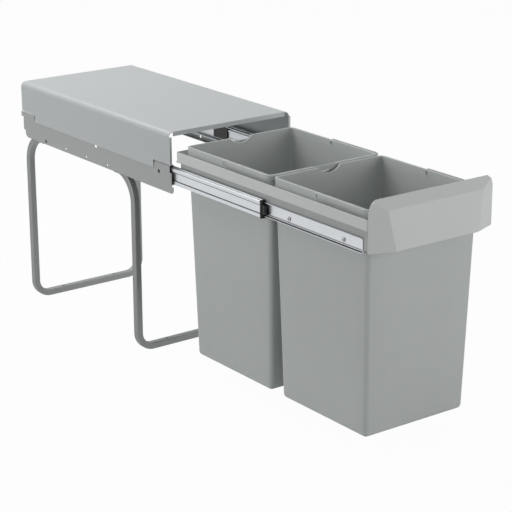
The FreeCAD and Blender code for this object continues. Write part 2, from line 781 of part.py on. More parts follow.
# ---------------------------------------------------------------- front panel
panel = new_body("front_panel")
panel_half = z.panelWide / 2
panel_top = z.panelLow + z.panelHigh
back = z.panelBack
prism(panel, "YZ", -panel_half, z.panelWide, [
    (back, z.panelLow), (back - z.panelDeep, z.panelLow),
    (back - z.panelEdge, panel_top - 17.5), (back, panel_top)])
for _, side in SIDES:
    prism(panel, "XY", z.panelLow - 1, z.panelHigh + 2, mirrored(side, [
        (panel_half, back), (panel_half + 1, back), (panel_half + 1, back - z.panelDeep - 1),
        (panel_half - 43 - 2.7, back - z.panelDeep - 1)]), True)
    prism(panel, "XZ", back - z.panelDeep - 1, z.panelDeep + 2, mirrored(side, [
        (panel_half - 12.5, panel_top), (panel_half - 4.4, panel_top - 7), (panel_half, panel_top - 17),
        (panel_half + 1, panel_top - 17), (panel_half + 1, panel_top + 1), (panel_half - 12.5, panel_top + 1)]),
        True)
hollow(panel, z.panelWall, lambda f, c: near(c.y, back) and f.Area > 1000)
PANEL_X = 88.0
boss_z = (z.panelLow + 10, z.panelLow + 28)
boss_spots = [(PANEL_X * side, height) for _, side in SIDES for height in boss_z]
rounds(panel, "XZ", back - 10.0, 10.0, boss_spots, z.bossRound)
rounds(panel, "XZ", back - 9.0, 9.0, boss_spots, 1.5, True)

for name, side in SIDES:
    bracket = new_body("panel_bracket_" + name)
    # the short leg lies inside the carrier rail, the long leg behind the panel
    prism(bracket, "XY", z.panelLow + 2, 30, mirrored(side, [
        (web_in, deep(-503.0)), (web_in, back), (PANEL_X - 8, back), (PANEL_X - 8, back + 1.5),
        (web_in - 1.5, back + 1.5), (web_in - 1.5, deep(-503.0))]))
    rounds(bracket, "XZ", back - 1, 4, [(PANEL_X * side, height) for height in boss_z], 1.6, True)
    start, length = sided(side, web_in - 2, web_in + 1)
    rounds(bracket, "YZ", start, length, [(deep(-508.5), mid + 10)], 1.6, True)
for name, side in SIDES:
    carrier = [b for b in bodies if b.Name == "carrier_rail_" + name][0]
    start, length = sided(side, web_in - 1, web_out + 1)
    rounds(carrier, "YZ", start, length, [(deep(-508.5), mid + 10)], 1.6, True)

panel_screws = new_body("panel_screws")
rounds(panel_screws, "XZ", back - 8.0, 9.5, boss_spots, 1.5)
rounds(panel_screws, "XZ", back + 1.5, 1.8, boss_spots, 3.0)
for _, side in SIDES:
    start, length = sided(side, web_in - 1.5, web_out)
    rounds(panel_screws, "YZ", start, length, [(deep(-508.5), mid + 10)], 1.6)
    start, length = sided(side, web_in - 3.1, web_in - 1.5)
    rounds(panel_screws, "YZ", start, length, [(deep(-508.5), mid + 10)], 3.0)

# ---------------------------------------------------------------- bins with their bail handles


def tapered(name, centre, low, top, inset, foot_round, step):
    # Tapered tub with a straight collar on top, which stands out by the step.
    tub = doc.addObject("PartDesign::Body", name)
    corner = z.binCorner - inset
    foot = plane_sketch(tub, "XY", low, 0)
    wide = z.floorHalfWide - inset
    long = z.floorHalfLong - inset
    draw_rounded(foot, -wide, wide, centre - long, centre + long, corner)
    neck_z = z.rimLow + inset * 0.9
    neck = plane_sketch(tub, "XY", neck_z, 0)
    wide = z.rimHalfWide - z.binStep - inset
    long = z.rimHalfLong - z.binStep - inset
    draw_rounded(neck, -wide, wide, centre - long, centre + long, corner)
    loft = tub.newObject("PartDesign::AdditiveLoft", name + "_loft")
    loft.Profile = foot
    loft.Sections = [neck]
    loft.Ruled = True
    doc.recompute()
    wide = wide + step
    long = long + step
    rounded(tub, "XY", neck_z, top - neck_z, (-wide, wide, centre - long, centre + long, corner + step))
    fillet(tub, foot_round, lambda e, c: near(c.z, low))
    return tub


for name, centre in (("rear", z.rearBin), ("front", z.frontBin)):
    bin_body = tapered("bin_" + name, centre, z.binLow, z.rimHigh, as_size(0), z.binFoot,
                       z.binStep)
    bodies.append(bin_body)
    core = tapered("core_" + name, centre, z.binLow + z.binWall, z.rimHigh + 1, z.binWall,
                   z.binFoot - z.binWall, as_size(0))
    hollowed = bin_body.newObject("PartDesign::Boolean", "bin_hollow")
    hollowed.Type = "Cut"
    hollowed.addObject(core)
    doc.recompute()
    notch_z = z.rimHigh - z.notchDeep + z.notchRound
    rounds(bin_body, "XZ", centre - z.rimHalfLong - 1, z.rimHalfLong * 2 + 2, [(0, notch_z)],
           z.notchRound, True)
    pivot_y = centre - z.pivotAhead
    rounds(bin_body, "YZ", -z.rimHalfWide - 1, z.rimHalfWide * 2 + 2, [(pivot_y, z.bailMid)],
           z.pinRound, True)

    bail = new_body("handle_" + name)
    bail_in = z.rimHalfWide + z.bailGap
    bail_out = bail_in + z.bailThick
    bail_front = centre - z.rimHalfLong - z.bailGap
    prism(bail, "XY", z.bailMid - z.bailHigh / 2, z.bailHigh, [
        (-bail_out, pivot_y), (-bail_out, bail_front - z.bailThick), (bail_out, bail_front - z.bailThick),
        (bail_out, pivot_y), (bail_in, pivot_y), (bail_in, bail_front), (-bail_in, bail_front),
        (-bail_in, pivot_y)])
    corner = z.binCorner + z.binStep + z.bailGap
    fillet(bail, corner + z.bailThick,
           lambda e, c: runs(e, 2) and near(abs(c.x), bail_out) and near(c.y, bail_front - z.bailThick))
    fillet(bail, corner, lambda e, c: runs(e, 2) and near(abs(c.x), bail_in) and near(c.y, bail_front))
    for _, side in SIDES:
        start, length = sided(side, bail_in, bail_out)
        rounds(bail, "YZ", start, length, [(pivot_y, z.bailMid)], z.bailHigh / 2)
        rounds(bail, "YZ", start, length, [(pivot_y, z.bailMid)], z.pinRound + z.pinPlay, True)

    pins = new_body("handle_pins_" + name)
    wall = z.rimHalfWide - z.binStep - z.binWall
    for _, side in SIDES:
        for first, last, radius in ((wall - 2.0, wall, 3.3), (wall, bail_out + 0.2, z.pinRound),
                                    (z.rimHalfWide, bail_in - 0.2, 2.8), (bail_out + 0.2, bail_out + 1.0, 3.0)):
            start, length = sided(side, first, last)
            rounds(pins, "YZ", start, length, [(pivot_y, z.bailMid)], radius)

# ---------------------------------------------------------------- checks and files
doc.recompute()
os.makedirs("parts", exist_ok=True)
for item in doc.Objects:
    for word in item.State:
        if word in ("Invalid", "Error"):
            raise ValueError("%s is %s" % (item.Name, word))
for body in bodies:
    shape = body.Shape
    if shape.isNull() or not shape.isValid():
        raise ValueError("bad shape in " + body.Name)
    shape.exportStep("parts/%s.step" % body.Name)
    size = shape.BoundBox
    print("%-22s solids %2d  x %.1f %.1f  y %.1f %.1f  z %.1f %.1f" % (
        body.Name, len(shape.Solids), size.XMin, size.XMax, size.YMin, size.YMax, size.ZMin, size.ZMax))
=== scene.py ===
import bpy
import bmesh
import json
import math
from mathutils import Matrix, Vector


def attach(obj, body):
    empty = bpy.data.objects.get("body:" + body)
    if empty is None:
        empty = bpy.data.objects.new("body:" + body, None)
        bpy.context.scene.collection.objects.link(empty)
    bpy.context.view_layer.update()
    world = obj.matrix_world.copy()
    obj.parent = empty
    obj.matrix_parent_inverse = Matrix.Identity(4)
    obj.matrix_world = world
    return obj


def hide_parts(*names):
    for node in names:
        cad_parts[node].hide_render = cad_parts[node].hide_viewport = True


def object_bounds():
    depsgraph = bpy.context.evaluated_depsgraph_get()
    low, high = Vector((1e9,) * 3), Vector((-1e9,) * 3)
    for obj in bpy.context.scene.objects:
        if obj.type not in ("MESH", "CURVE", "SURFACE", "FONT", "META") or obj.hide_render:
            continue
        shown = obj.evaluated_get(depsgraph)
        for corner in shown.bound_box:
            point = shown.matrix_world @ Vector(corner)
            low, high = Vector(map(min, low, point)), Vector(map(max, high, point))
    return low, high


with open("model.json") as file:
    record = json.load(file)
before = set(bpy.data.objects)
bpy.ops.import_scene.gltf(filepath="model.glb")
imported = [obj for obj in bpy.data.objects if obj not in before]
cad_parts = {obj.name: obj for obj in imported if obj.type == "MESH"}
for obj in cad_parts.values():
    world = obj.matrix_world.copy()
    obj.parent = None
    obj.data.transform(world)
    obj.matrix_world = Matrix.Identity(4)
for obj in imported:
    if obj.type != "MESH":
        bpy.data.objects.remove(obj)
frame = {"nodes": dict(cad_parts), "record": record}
nodes = frame["nodes"]
cadLow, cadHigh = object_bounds()
print("frame loaded,", len(nodes), "nodes")


def linear(hexText):
    # sRGB hex to the linear colour a shader takes
    values = []
    for start in (1, 3, 5):
        c = int(hexText[start:start + 2], 16) / 255
        values.append(c / 12.92 if c <= 0.04045 else ((c + 0.055) / 1.055) ** 2.4)
    return (*values, 1.0)


def addNode(tree, kind, settings=None, links=None):
    node = tree.nodes.new("ShaderNode" + kind)
    for key, value in (settings or {}).items():
        if isinstance(key, str) and hasattr(node, key):
            setattr(node, key, value)
        else:
            node.inputs[key].default_value = value
    for key, source in (links or {}).items():
        tree.links.new(source, node.inputs[key])
    return node


def putInScene(name, data):
    made = bpy.data.objects.new(name, data)
    bpy.context.scene.collection.objects.link(made)
    return made


def startMaterial(name):
    material = bpy.data.materials.new(name)
    material.use_nodes = True
    material.node_tree.nodes.clear()
    return material, material.node_tree


def finishMaterial(tree, shader):
    addNode(tree, "OutputMaterial", {}, {"Surface": shader.outputs["BSDF"]})


# Powder coat over steel sheet: satin, with the faint orange peel and grain of a baked powder. A little
# aluminium pigment in it makes it partly metallic.
powderCoat = {
    "peelSize": 0.0024,        # ripple of the baked coat
    "peelDeep": 0.00004,
    "peelStrength": 0.25,
    "grainSize": 0.0011,       # real grain is about 0.06 mm, drawn coarser so that it shows
    "grainTone": 0.025,        # how far up and down the grain moves the colour
    "cloudSize": 0.070,        # slow change of coat thickness
    "cloudTone": 0.015,
    "rubStart": 0.52,          # edges rub a little paler than the faces
    "rubFull": 0.62,
    "rubTone": 0.06,
    "roughness": 0.46,
    "roughSwing": 0.05,
    "ior": 1.5,
}


def makePowderCoat(name, hexText, metallic):
    coat = powderCoat
    material, tree = startMaterial(name)
    where = addNode(tree, "TexCoord").outputs["Object"]
    cloud = addNode(tree, "TexNoise", {"Scale": 1 / coat["cloudSize"], "Detail": 3.0}, {"Vector": where})
    grain = addNode(tree, "TexVoronoi", {"Scale": 1 / coat["grainSize"]}, {"Vector": where})
    peel = addNode(tree, "TexNoise", {"Scale": 1 / coat["peelSize"], "Detail": 2.0}, {"Vector": where})
    grainGrey = addNode(tree, "RGBToBW", {}, {"Color": grain.outputs["Color"]})
    cloudPart = addNode(tree, "MapRange",
                        {"To Min": 1 - coat["cloudTone"], "To Max": 1 + coat["cloudTone"]},
                        {"Value": cloud.outputs[0]})
    grainPart = addNode(tree, "MapRange",
                        {"To Min": 1 - coat["grainTone"], "To Max": 1 + coat["grainTone"]},
                        {"Value": grainGrey.outputs[0]})
    both = addNode(tree, "Math", {"operation": "MULTIPLY"},
                   {0: cloudPart.outputs[0], 1: grainPart.outputs[0]})
    edge = addNode(tree, "NewGeometry").outputs["Pointiness"]
    rub = addNode(tree, "MapRange", {"From Min": coat["rubStart"], "From Max": coat["rubFull"],
                                     "To Min": 1.0, "To Max": 1 + coat["rubTone"]}, {"Value": edge})
    total = addNode(tree, "Math", {"operation": "MULTIPLY"}, {0: both.outputs[0], 1: rub.outputs[0]})
    colour = addNode(tree, "HueSaturation", {"Color": linear(hexText)}, {"Value": total.outputs[0]})
    rough = addNode(tree, "MapRange", {"To Min": coat["roughness"] - coat["roughSwing"],
                                       "To Max": coat["roughness"] + coat["roughSwing"]},
                    {"Value": cloud.outputs[0]})
    bump = addNode(tree, "Bump", {"Strength": coat["peelStrength"], "Distance": coat["peelDeep"]},
                   {"Height": peel.outputs[0]})
    shader = addNode(tree, "BsdfPrincipled", {"Metallic": metallic, "IOR": coat["ior"]},
                     {"Base Color": colour.outputs[0], "Roughness": rough.outputs[0],
                      "Normal": bump.outputs[0]})
    finishMaterial(tree, shader)
    return material


# Bright zinc on roll-formed slide steel: drawn streaks run along the slide, and painted shade darkens its
# corners and tracks.
zincCoat = {
    "streakWide": 0.0011,      # real streaks are about 0.2 mm wide, drawn coarser so that they show
    "streakLong": 0.080,
    "streakTone": (0.90, 1.08),
    "streakStrength": 0.15,
    "streakDeep": 0.00002,
    "spangleSize": 0.003846,   # crystals of the zinc
    "spangleTone": 0.02,
    "paintedShadeReach": 0.0035,     # painted shade darkens corners and tracks up to this far in
    "greaseRange": (0.50, 0.82),
    "paintedShadeDark": 0.16,
    "roughLess": 0.07,
    "roughMore": 0.09,
}


def makeZinc(name, hexText, roughness, along=True):
    zinc = zincCoat
    material, tree = startMaterial(name)
    where = addNode(tree, "TexCoord").outputs["Object"]
    wide = 1 / zinc["streakWide"]
    long = 1 / zinc["streakLong"] if along else wide
    stretch = addNode(tree, "Mapping", {"Scale": (wide, long, wide)}, {"Vector": where})
    streak = addNode(tree, "TexNoise", {"Scale": 1.0, "Detail": 4.0}, {"Vector": stretch.outputs[0]})
    spangle = addNode(tree, "TexVoronoi", {"Scale": 1 / zinc["spangleSize"]}, {"Vector": where})
    spangleGrey = addNode(tree, "RGBToBW", {}, {"Color": spangle.outputs["Color"]})
    tone = addNode(tree, "MapRange", {"To Min": zinc["streakTone"][0], "To Max": zinc["streakTone"][1]},
                   {"Value": streak.outputs[0]})
    spot = addNode(tree, "MapRange",
                   {"To Min": 1 - zinc["spangleTone"], "To Max": 1 + zinc["spangleTone"]},
                   {"Value": spangleGrey.outputs[0]})
    unshadedTone = addNode(tree, "Math", {"operation": "MULTIPLY"}, {0: tone.outputs[0], 1: spot.outputs[0]})
    # painted shade: ambient occlusion darkens the zinc's colour in corners, grooves and ball tracks
    corner = addNode(tree, "AmbientOcclusion", {"samples": 8, "Distance": zinc["paintedShadeReach"]})
    grease = addNode(tree, "MapRange",
                     {"From Min": zinc["greaseRange"][0], "From Max": zinc["greaseRange"][1],
                      "To Min": zinc["paintedShadeDark"], "To Max": 1.0}, {"Value": corner.outputs["AO"]})
    total = addNode(tree, "Math", {"operation": "MULTIPLY"}, {0: unshadedTone.outputs[0], 1: grease.outputs[0]})
    colour = addNode(tree, "HueSaturation", {"Color": linear(hexText)}, {"Value": total.outputs[0]})
    rough = addNode(tree, "MapRange",
                    {"To Min": roughness - zinc["roughLess"], "To Max": roughness + zinc["roughMore"]},
                    {"Value": streak.outputs[0]})
    bump = addNode(tree, "Bump", {"Strength": zinc["streakStrength"], "Distance": zinc["streakDeep"]},
                   {"Height": streak.outputs[0]})
    shader = addNode(tree, "BsdfPrincipled", {"Metallic": 1.0},
                     {"Base Color": colour.outputs[0], "Roughness": rough.outputs[0],
                      "Normal": bump.outputs[0]})
    finishMaterial(tree, shader)
    return material


# Injection-moulded polypropylene: matte spark-eroded grain with faint flow marks. The nylon and the
# rubber pieces come from moulds with the same grain.
mouldedPlastic = {
    "grainSize": 0.0009,       # real grain is about 0.1 mm, drawn coarser so that it shows
    "grainTone": 0.03,
    "grainStrength": 0.3,
    "flowSize": 0.120,         # flow of the melt from the gate
    "flowStretch": 0.25,       # flow marks run up and down
    "flowTone": 0.025,
    "scuffSize": 0.030,        # patches rubbed by hands and bags
    "scuffRange": (0.35, 0.65),
    "roughLess": 0.05,
    "roughMore": 0.07,
    "ior": 1.49,
}


def makeMoulded(name, hexText, roughness, grainDeep=0.00005):
    plastic = mouldedPlastic
    material, tree = startMaterial(name)
    where = addNode(tree, "TexCoord").outputs["Object"]
    grain = addNode(tree, "TexNoise", {"Scale": 1 / plastic["grainSize"], "Detail": 2.0},
                    {"Vector": where})
    flowWay = addNode(tree, "Mapping", {"Scale": (1.0, 1.0, plastic["flowStretch"])}, {"Vector": where})
    flow = addNode(tree, "TexNoise", {"Scale": 1 / plastic["flowSize"], "Detail": 3.0,
                                      "Distortion": 0.6}, {"Vector": flowWay.outputs[0]})
    scuff = addNode(tree, "TexNoise", {"Scale": 1 / plastic["scuffSize"], "Detail": 6.0,
                                       "Roughness": 0.7}, {"Vector": where})
    flowPart = addNode(tree, "MapRange",
                       {"To Min": 1 - plastic["flowTone"], "To Max": 1 + plastic["flowTone"]},
                       {"Value": flow.outputs[0]})
    grainPart = addNode(tree, "MapRange",
                        {"To Min": 1 - plastic["grainTone"], "To Max": 1 + plastic["grainTone"]},
                        {"Value": grain.outputs[0]})
    total = addNode(tree, "Math", {"operation": "MULTIPLY"},
                    {0: flowPart.outputs[0], 1: grainPart.outputs[0]})
    colour = addNode(tree, "HueSaturation", {"Color": linear(hexText)}, {"Value": total.outputs[0]})
    rough = addNode(tree, "MapRange",
                    {"From Min": plastic["scuffRange"][0], "From Max": plastic["scuffRange"][1],
                     "To Min": roughness - plastic["roughLess"],
                     "To Max": roughness + plastic["roughMore"]}, {"Value": scuff.outputs[0]})
    bump = addNode(tree, "Bump", {"Strength": plastic["grainStrength"], "Distance": grainDeep},
                   {"Height": grain.outputs[0]})
    shader = addNode(tree, "BsdfPrincipled", {"Metallic": 0.0, "IOR": plastic["ior"]},
                     {"Base Color": colour.outputs[0], "Roughness": rough.outputs[0],
                      "Normal": bump.outputs[0]})
    finishMaterial(tree, shader)
    return material


# Hardened balls: polished steel, with fine marks that break up the shine.
ballFinish = {
    "marksSize": 0.0003846,    # real marks are as fine as hair, drawn coarser so that they show
    "tone": (0.96, 1.03),
    "roughness": (0.08, 0.20),
}


def makeBallSteel(name, hexText):
    ball = ballFinish
    material, tree = startMaterial(name)
    where = addNode(tree, "TexCoord").outputs["Object"]
    marks = addNode(tree, "TexNoise", {"Scale": 1 / ball["marksSize"], "Detail": 4.0}, {"Vector": where})
    tone = addNode(tree, "MapRange", {"To Min": ball["tone"][0], "To Max": ball["tone"][1]},
                   {"Value": marks.outputs[0]})
    colour = addNode(tree, "HueSaturation", {"Color": linear(hexText)}, {"Value": tone.outputs[0]})
    rough = addNode(tree, "MapRange", {"To Min": ball["roughness"][0], "To Max": ball["roughness"][1]},
                    {"Value": marks.outputs[0]})
    shader = addNode(tree, "BsdfPrincipled", {"Metallic": 1.0},
                     {"Base Color": colour.outputs[0], "Roughness": rough.outputs[0]})
    finishMaterial(tree, shader)
    return material


canopyCoat = makePowderCoat("PowderCoatCanopy", "#c1c5c6", 0.1)
railCoat = makePowderCoat("PowderCoatRail", "#a9acab", 0.25)
tubeCoat = makePowderCoat("PowderCoatTube", "#919493", 0.5)
carrierCoat = makePowderCoat("PowderCoatCarrier", "#b4b7b6", 0.15)
zincSteel = makeZinc("ZincSlideSteel", "#d4d7da", 0.33)
cageSteel = makeZinc("CageStripSteel", "#b6b8ba", 0.42)
screwZinc = makeZinc("ZincScrew", "#a9abad", 0.30, along=False)
ballSteel = makeBallSteel("PolishedBallSteel", "#d2d4d6")
binPlastic = makeMoulded("MouldedBin", "#c7cbca", 0.52)
framePlastic = makeMoulded("MouldedFrame", "#dee1e0", 0.48)
bailPlastic = makeMoulded("MouldedBail", "#c4c8c7", 0.46)
panelPlastic = makeMoulded("MouldedPanel", "#dcdfde", 0.42, 0.00003)
blackPlastic = makeMoulded("BlackNylon", "#17181a", 0.45, 0.00003)
blackRubber = makeMoulded("BlackRubber", "#1d1d1d", 0.75)
print("materials made")

# What each node wears, by the start of its name
finishes = {
    "canopy": canopyCoat, "rail": railCoat, "hoop": tubeCoat,
    "slide_outer": zincSteel, "slide_middle": zincSteel, "slide_inner": zincSteel,
    "slide_end": blackPlastic, "slide_stop": blackPlastic, "slide_buffer": blackRubber,
    "slide_rivets": screwZinc, "balls": ballSteel, "cage": cageSteel,
    "carrier_rail": carrierCoat, "carrier_screws": screwZinc,
    "bin_frame": framePlastic, "frame_screws": screwZinc,
    "front_panel": panelPlastic, "panel_bracket": carrierCoat, "panel_screws": screwZinc,
    "bin_rear": binPlastic, "bin_front": binPlastic,
    "handle_rear": bailPlastic, "handle_front": bailPlastic, "handle_pins": bailPlastic,
}


def finishFor(name):
    # the longest start of the name that has a finish
    starts = [key for key in finishes if name.startswith(key)]
    return finishes[max(starts, key=len)]


for name, node in nodes.items():
    node.data.materials.clear()
    node.data.materials.append(finishFor(name))
print("finishes set on the frame")


def makePiece(name, vertices, faces, material, body, sharpAngle=32.0):
    mesh = bpy.data.meshes.new(name)
    mesh.from_pydata([tuple(v) for v in vertices], [], faces)
    mesh.validate()
    mesh.materials.append(material)
    mesh.shade_smooth()
    mesh.set_sharp_from_angle(angle=math.radians(sharpAngle))
    piece = putInScene(name, mesh)
    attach(piece, body)
    return piece


def applyModifiers(piece):
    # the shape with its modifiers becomes the piece's own mesh
    bpy.context.view_layer.update()
    graph = bpy.context.evaluated_depsgraph_get()
    made = bpy.data.meshes.new_from_object(piece.evaluated_get(graph))
    piece.modifiers.clear()
    piece.data = made


def skinRings(rings, turnOver=False):
    # quads from each ring to the next, all with the same number of points, and a face over each end
    count = len(rings[0])
    faces = []
    for row in range(len(rings) - 1):
        here, above = row * count, (row + 1) * count
        for i in range(count):
            j = (i + 1) % count
            faces.append((here + i, here + j, above + j, above + i))
    faces.append(tuple(reversed(range(count))))
    faces.append(tuple(range((len(rings) - 1) * count, len(rings) * count)))
    if turnOver:
        faces = [tuple(reversed(face)) for face in faces]
    return [point for ring in rings for point in ring], faces


# Sheet, moulded and rolled parts, with how wide the press, the mould or the coat breaks their edges
edgeBreaks = {
    "canopy": 0.0003, "rail_left": 0.0004, "rail_right": 0.0004, "bin_frame": 0.0004,
    "front_panel": 0.0005, "carrier_rail_left": 0.0003, "carrier_rail_right": 0.0003,
    "slide_outer_left": 0.00025, "slide_outer_right": 0.00025, "slide_middle_left": 0.00025,
    "slide_middle_right": 0.00025, "slide_inner_left": 0.00025, "slide_inner_right": 0.00025,
    "slide_end_left": 0.0004, "slide_end_right": 0.0004, "slide_stop_left": 0.0005,
    "slide_stop_right": 0.0005,
}
edgeWork = {
    "mergeWithin": 0.000001,
    "flatWithin": 0.5,         # degrees, as are the next three
    "breakOver": 40.0,
    "sharpOver": 35.0,
    "sharpOverPanel": 14.0,    # the panel's facets meet at low angles and stay crisp
    "roundSteps": 2,
    "flatWeight": 100,
}
bodyOf = {node: body for body, members in frame["record"]["behaviour"]["bodies"].items()
          for node in members}


def breakEdges(name, width):
    build = bmesh.new()
    build.from_mesh(nodes[name].data)
    bmesh.ops.remove_doubles(build, verts=build.verts, dist=edgeWork["mergeWithin"])
    bmesh.ops.dissolve_limit(build, angle_limit=math.radians(edgeWork["flatWithin"]),
                             verts=build.verts, edges=build.edges)
    build.verts.index_update()
    points = [v.co.copy() for v in build.verts]
    faces = [[v.index for v in face.verts] for face in build.faces]
    build.free()
    piece = makePiece(name + "_edged", points, faces, finishFor(name), bodyOf[name])
    bevel = piece.modifiers.new("EdgeBreak", "BEVEL")
    bevel.width = width
    bevel.segments = edgeWork["roundSteps"]
    bevel.limit_method = "ANGLE"
    bevel.angle_limit = math.radians(edgeWork["breakOver"])
    bevel.use_clamp_overlap = False
    applyModifiers(piece)
    sharpOver = edgeWork["sharpOverPanel" if name == "front_panel" else "sharpOver"]
    piece.data.shade_smooth()
    piece.data.set_sharp_from_angle(angle=math.radians(sharpOver))
    # wide faces stay flat up to their edges
    flat = piece.modifiers.new("FlatFaces", "WEIGHTED_NORMAL")
    flat.keep_sharp = True
    flat.weight = edgeWork["flatWeight"]
    applyModifiers(piece)
    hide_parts(name)


for name, width in edgeBreaks.items():
    breakEdges(name, width)
print("edges broken")

# Bins: tapered tubs with a stepped collar, a rolled rim and a finger notch front and back
binShape = {
    "rearCentre": -0.451, "frontCentre": -0.692, "corner": 0.008, "cornerSteps": 6, "sideSteps": 3,
    "rimHalfWide": 0.1119, "rimHalfLong": 0.1164, "rimHigh": 0.4119, "rimRound": 0.0009,
    "rimBend": 0.13,           # how far in a quarter round has come a third of the way along
    "step": 0.0014, "wall": 0.0022,
    "collarLow": 0.3940, "collarRound": 0.0004, "collarBand": 0.0040, "underCollar": 0.0005,
    "neckFlare": 0.0003,
    "wallLevels": (0.10, 0.18, 0.26, 0.34, 0.385),
    "footHalfWide": 0.1016, "footHalfLong": 0.1054, "footLow": 0.0403, "footRound": 0.0075,
    "footSteps": 6, "leastCorner": 0.0006,
    "panelRows": ((0.0220, 0.0008, 0.4), (0.0206, 0.0001, 0.5)),   # in, up, share of the corner
    "notchHalf": 0.0228, "notchRound": 0.030, "notchDeep": 0.0105, "notchSpacing": 0.0019,
    "notchMargin": 0.0015,
}


def binRing(halfWide, halfLong, radius, centre, height, notched):
    b = binShape
    reach = b["notchHalf"] + b["notchMargin"]
    steps = int(round(2 * reach / b["notchSpacing"]))
    close = [-reach + 2 * reach * i / steps for i in range(steps + 1)]
    acrossSpots = [radius - halfWide, (radius - halfWide - reach) / 2] + close
    acrossSpots += [(halfWide - radius + reach) / 2, halfWide - radius]
    sides = b["sideSteps"]
    alongSpots = [(halfLong - radius) * i / sides for i in range(-sides, sides + 1)]

    def rimAt(x):
        # the rim's height at a place across, lower in the notch
        if not notched or abs(x) >= b["notchHalf"]:
            return height
        arc = b["notchRound"] - math.sqrt(b["notchRound"] ** 2 - x * x)
        edge = b["notchRound"] - math.sqrt(b["notchRound"] ** 2 - b["notchHalf"] ** 2)
        return height - (edge - arc) * b["notchDeep"] / edge

    ring = [(x, centre - halfLong, rimAt(x)) for x in acrossSpots]
    turns = [math.pi / 2 * i / (b["cornerSteps"] + 1) for i in range(1, b["cornerSteps"] + 1)]
    for quarter in range(4):
        signX = 1 if quarter in (0, 1) else -1
        signY = -1 if quarter in (0, 3) else 1
        for t in turns:
            angle = -math.pi / 2 + quarter * math.pi / 2 + t
            ring.append((signX * (halfWide - radius) + radius * math.cos(angle),
                         centre + signY * (halfLong - radius) + radius * math.sin(angle), height))
        if quarter == 0:
            ring += [(halfWide, centre + y, height) for y in alongSpots]
        if quarter == 1:
            ring += [(x, centre + halfLong, rimAt(x)) for x in reversed(acrossSpots)]
        if quarter == 2:
            ring += [(-halfWide, centre + y, height) for y in reversed(alongSpots)]
    return ring


def binRings(centre):
    b = binShape
    wall, step, r = b["wall"], b["step"], b["corner"]
    neckWide, neckLong = b["rimHalfWide"] - step, b["rimHalfLong"] - step

    def taperAt(level, inset):
        # outline of the tapered part at a height, moved in by the wall
        share = (level - b["footLow"]) / (b["collarLow"] - b["footLow"])
        wide = b["footHalfWide"] + (neckWide - b["footHalfWide"]) * share
        long = b["footHalfLong"] + (neckLong - b["footHalfLong"]) * share
        return wide - inset, long - inset, r - inset

    def footRows(inset, low, roundness):
        # rows of the rounded foot, from the flat bottom up
        made = []
        for i in range(b["footSteps"] + 1):
            turn = math.pi / 2 * i / b["footSteps"]
            level = low + roundness * (1 - math.cos(turn))
            back = roundness * (1 - math.sin(turn))
            wide, long, corner = taperAt(level, inset)
            made.append((wide - back, long - back, max(corner - back, b["leastCorner"]), level, False))
        return made

    # underside: a shallow panel inside the foot
    wide, long, corner = taperAt(b["footLow"], 0)
    rows = [(wide - inward, long - inward, corner * share, b["footLow"] + up, False)
            for inward, up, share in b["panelRows"]]
    rows += footRows(0, b["footLow"], b["footRound"])
    low, high = b["collarLow"], b["rimHigh"]
    for level in b["wallLevels"] + (low - b["underCollar"],):
        rows.append((*taperAt(level, 0), level, False))
    # the collar stands out from the neck by the step
    rimWide, rimLong, rimCorner = b["rimHalfWide"], b["rimHalfLong"], r + step
    flare, soft = b["neckFlare"], b["collarRound"]
    rows.append((neckWide + flare, neckLong + flare, r + flare, low, False))
    rows.append((rimWide - soft, rimLong - soft, rimCorner - soft, low, False))
    rows.append((rimWide, rimLong, rimCorner, low + soft, False))
    rows.append((rimWide, rimLong, rimCorner, low + b["collarBand"], False))
    # the rim is rolled over in two quarter rounds
    rim = b["rimRound"]
    slight, half, thick = rim * b["rimBend"], rim * 0.5, wall + step
    for inset, under in ((0, rim), (slight, half), (half, slight), (rim, 0),
                         (thick - rim, 0), (thick - half, slight), (thick - slight, half), (thick, rim)):
        rows.append((rimWide - inset, rimLong - inset, rimCorner - inset, high - under, True))
    # inside, the wall runs straight up to the rim, which is thicker by the step
    rows.append((neckWide - wall, neckLong - wall, r - wall, low, False))
    for level in reversed(b["wallLevels"]):
        rows.append((*taperAt(level, wall), level, False))
    rows += reversed(footRows(wall, b["footLow"] + wall, b["footRound"] - wall))
    return [binRing(wide, long, corner, centre, level, notched)
            for wide, long, corner, level, notched in rows]


for side in ("rear", "front"):
    points, faces = skinRings(binRings(binShape[side + "Centre"]))
    tub = makePiece("bin_" + side + "_moulded", points, faces, binPlastic, side + "_bin")
    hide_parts("bin_" + side)
print("bins made")

# Bail handles: a flat band round the front half of the rim, ending in round eyes at the pivots
bailShape = {
    "halfWide": 0.1145, "frontGap": 0.1190, "corner": 0.0120, "thick": 0.0018, "high": 0.0088,
    "middle": 0.4082, "edgeRound": 0.0006, "edgeSteps": 3, "pivotBehind": 0.0045,
    "sideSteps": 8, "cornerSteps": 10, "frontSteps": 12, "eyeSteps": 6,
    "eyeBlunt": 0.35,          # the eye stops this part of a step short of a point
}


